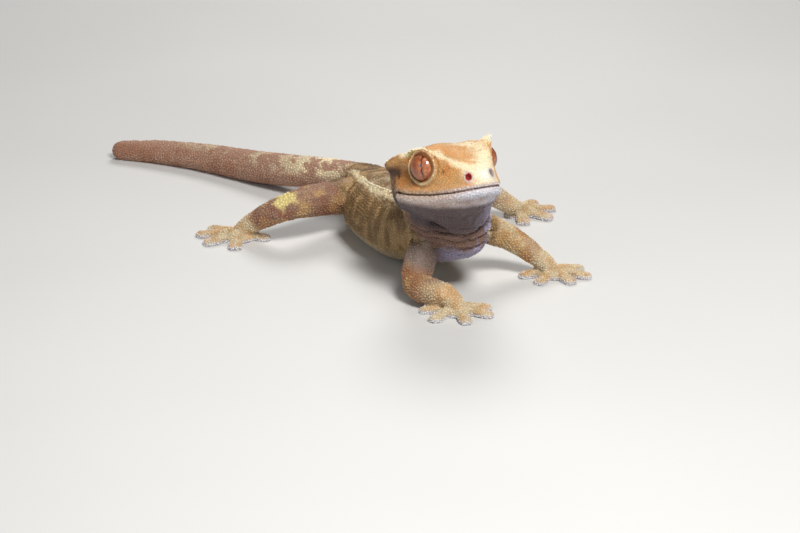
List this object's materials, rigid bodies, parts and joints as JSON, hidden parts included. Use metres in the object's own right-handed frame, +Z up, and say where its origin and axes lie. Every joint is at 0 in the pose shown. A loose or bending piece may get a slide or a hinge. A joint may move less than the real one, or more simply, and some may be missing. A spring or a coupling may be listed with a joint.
{
  "type": "crested gecko",
  "caption": "Life-size model of a crested gecko resting on its belly with raised head, spread toes and a long tail curved to its right.",
  "frame": {"origin": "on the floor under the middle of the belly", "axes": "+X along the back from the hips to the shoulders, +Y to the animal's left, +Z up"},
  "size_m": [0.1692, 0.1045, 0.0417],
  "materials": {
    "head_skin": "fine scaled skin, slightly moist",
    "jaw_skin": "fine scaled skin, slightly moist",
    "body_skin": "granular scaled skin, satin",
    "tail_skin": "granular scaled skin, satin",
    "limb_skin": "granular scaled skin, satin",
    "foot_skin": "fine scaled skin, satin",
    "eye": "wet, glassy"
  },
  "bodies": {
    "root": {"head": "head_skin", "lower_jaw": "jaw_skin", "neck": "body_skin", "torso": "body_skin", "tail_base": "tail_skin", "tail_middle": "tail_skin", "tail_tip": "tail_skin", "upper_arm_right": "limb_skin", "forearm_right": "limb_skin", "hand_right": "foot_skin", "upper_arm_left": "limb_skin", "forearm_left": "limb_skin", "hand_left": "foot_skin", "thigh_right": "limb_skin", "shin_right": "limb_skin", "foot_right": "foot_skin", "thigh_left": "limb_skin", "shin_left": "limb_skin", "foot_left": "foot_skin", "eye_right": "eye", "eye_left": "eye"}
  },
  "joints": []
}
